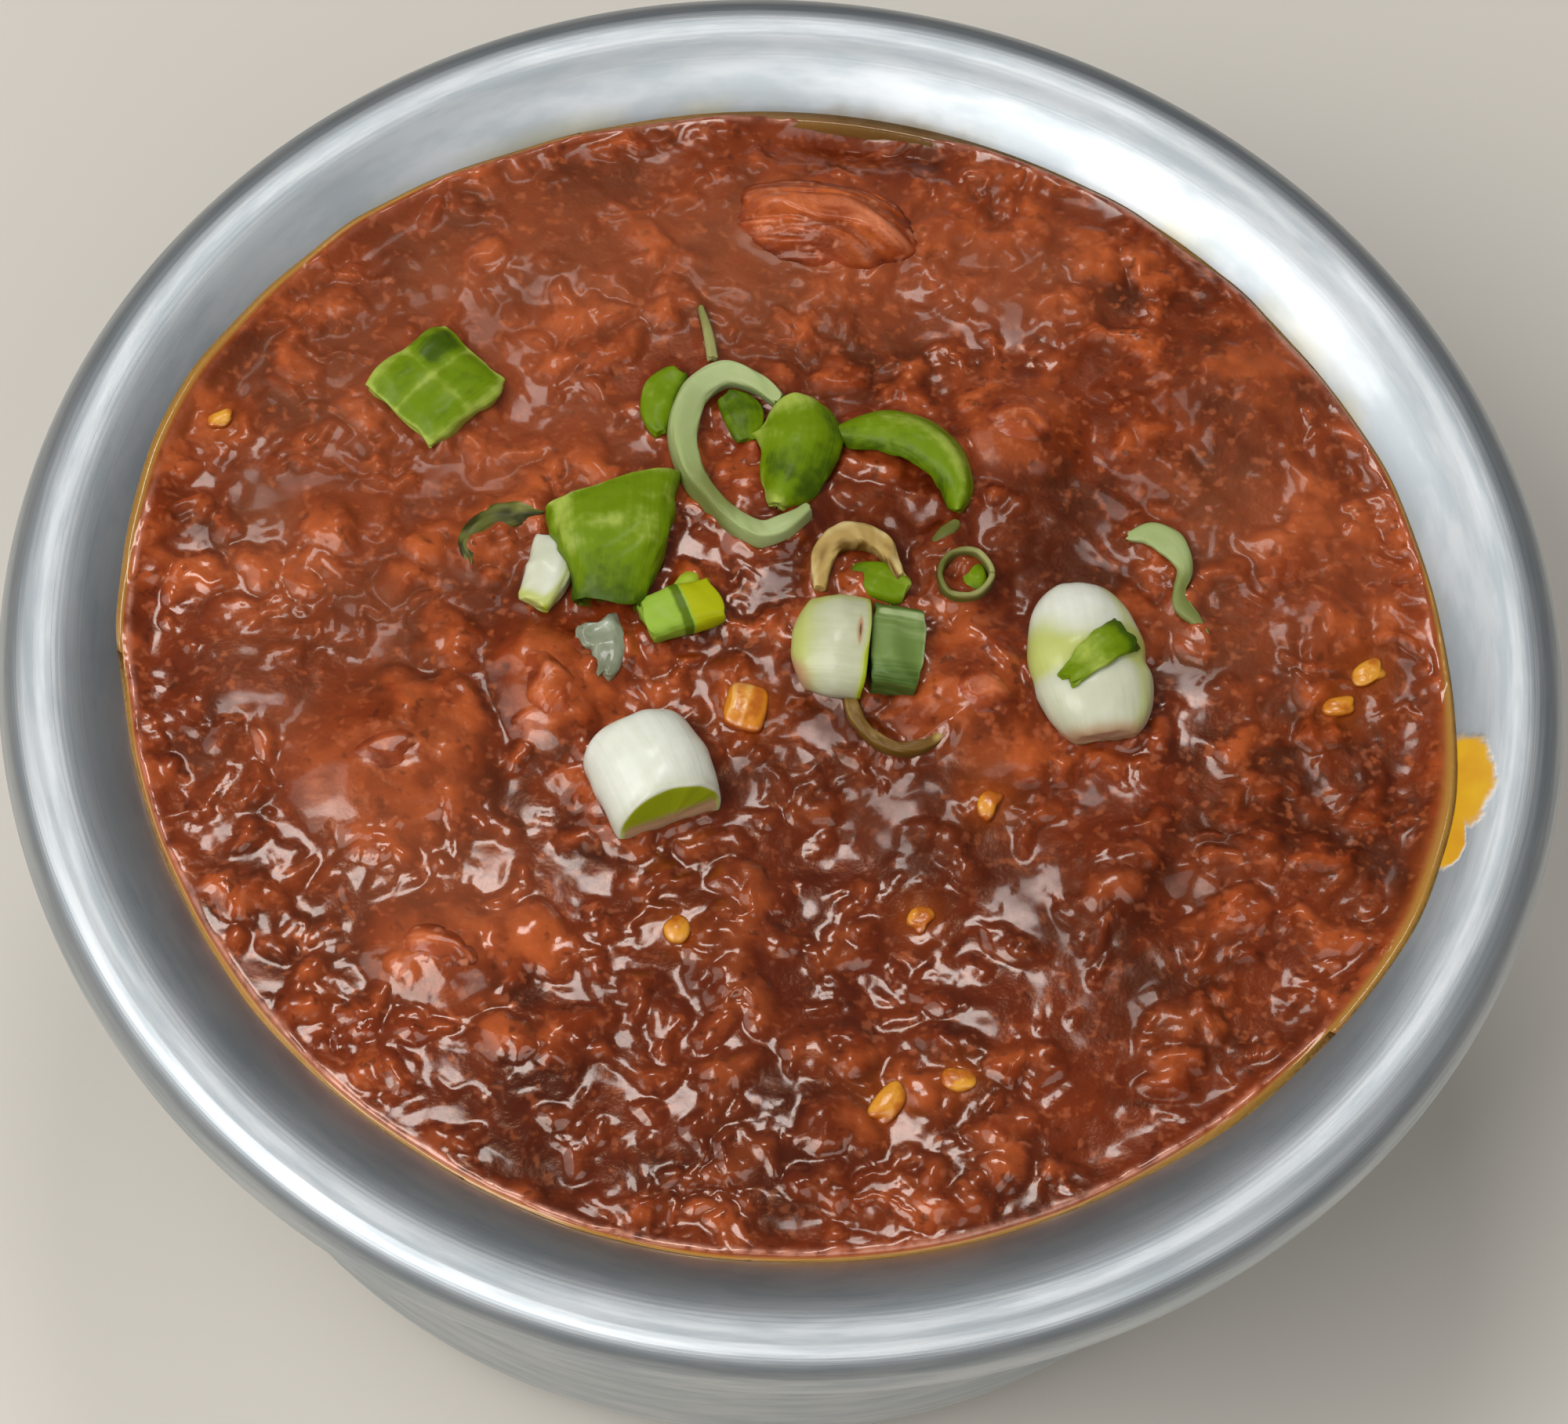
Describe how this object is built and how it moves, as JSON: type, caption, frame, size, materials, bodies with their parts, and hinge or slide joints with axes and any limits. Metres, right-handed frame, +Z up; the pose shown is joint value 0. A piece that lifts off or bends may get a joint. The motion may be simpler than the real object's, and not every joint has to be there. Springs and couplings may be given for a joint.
{
  "type": "bowl of chicken vindaloo",
  "caption": "Round steel bowl with a flared lip and rolled rim, filled nearly to the rim with thick red-brown chicken curry and topped with cut spring onion.",
  "frame": {"origin": "centre of the flat foot, on the surface that the bowl stands on", "axes": "+Z up, -Y towards the viewer of the picture, +X to that viewer's right"},
  "size_m": [0.14, 0.14, 0.0643],
  "materials": {
    "steel": "satin",
    "gravy": "wet, glossy, lumpy",
    "chicken": "wet, fibrous",
    "onion_white": "moist, waxy",
    "onion_green": "moist, ribbed leaf",
    "onion_pale": "moist, waxy",
    "onion_golden": "stained by the sauce",
    "onion_dark": "wilted, wet"
  },
  "bodies": {
    "root": {"bowl": "steel", "rim": "steel", "gravy": "gravy", "chicken_back": "chicken", "chicken_left": "chicken", "chicken_right": "chicken", "chicken_lump": "chicken", "chicken_low": "chicken", "chicken_red": "chicken", "onion_oval": "onion_white", "onion_white": "onion_white", "onion_dome": "onion_white", "white_wedge": "onion_white", "oval_stripe": "onion_green", "leaf_fold": "onion_green", "leaf_behind": "onion_green", "leaf_in_ring": "onion_green", "leaf_arch": "onion_green", "stem_small": "onion_green", "leaf_inner": "onion_green", "dome_green": "onion_green", "tube_flat": "onion_green", "tube_big": "onion_green", "section_small": "onion_green", "curl_half": "onion_green", "ring_large": "onion_pale", "ring_small": "onion_pale", "strip_thin": "onion_pale", "leaf_curl": "onion_pale", "bit_pale": "onion_pale", "ring_golden": "onion_golden", "strand_pale": "onion_golden", "tail_dark": "onion_dark"}
  },
  "joints": []
}
